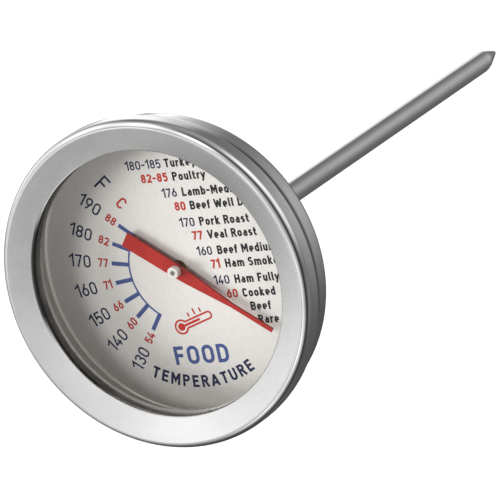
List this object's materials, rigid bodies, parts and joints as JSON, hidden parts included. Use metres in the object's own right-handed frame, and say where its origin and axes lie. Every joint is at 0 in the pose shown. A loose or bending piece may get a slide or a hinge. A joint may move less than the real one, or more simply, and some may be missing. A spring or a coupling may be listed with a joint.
{
  "type": "dial meat thermometer",
  "caption": "Round dial thermometer with a bevelled steel bezel, a glass window, a red pointer on a printed temperature scale, and a long straight pointed probe stem.",
  "frame": {"origin": "on the stem axis, in the outer face of the case back, where the stem leaves the case", "axes": "+Y along the stem from the case to its point (the dial faces -Y), +Z towards 12 o'clock on the dial, +X towards 3 o'clock seen from the front"},
  "size_m": [0.0552, 0.1364, 0.0552],
  "materials": {
    "satin_stainless": "satin brushed face, polished shoulder",
    "case_stainless": "circumferentially brushed",
    "clear_glass": "clear, polished",
    "dark_rubber": "matte",
    "bright_steel": "bright rolled",
    "dial_aluminium": "fine straight brushing, printed",
    "plain_steel": "mill finish",
    "stem_stainless": "drawn, lightly polished",
    "brass": "turned",
    "bimetal_strip": "rolled strip",
    "red_paint": "semi-gloss",
    "pale_aluminium": "bright turned"
  },
  "bodies": {
    "case": {"bezel_ring": "satin_stainless", "case_back": "case_stainless", "lens": "clear_glass", "lens_gasket": "dark_rubber", "spacer_ring": "bright_steel", "dial_plate": "dial_aluminium", "dial_support_ring": "plain_steel", "stem_collar": "stem_stainless", "stem_tube": "stem_stainless", "stem_tip": "stem_stainless", "shaft_bush": "brass", "thrust_washer": "bright_steel", "guide_bush_mid": "brass", "guide_bush_lower": "brass", "coil_anchor": "brass", "bimetal_coil": "bimetal_strip"},
    "pointer_train": {"pointer": "red_paint", "pointer_hub": "pale_aluminium", "pointer_shaft": "bright_steel", "shaft_collar": "brass", "coil_coupling": "brass"}
  },
  "joints": [
    {"name": "pointer_turn", "type": "hinge", "parent": "case", "child": "pointer_train", "pos_m": [0, 0, 0], "axis": [0, 1, 0], "range_deg": [-65, 200], "deforming": ["bimetal_coil"]}
  ]
}
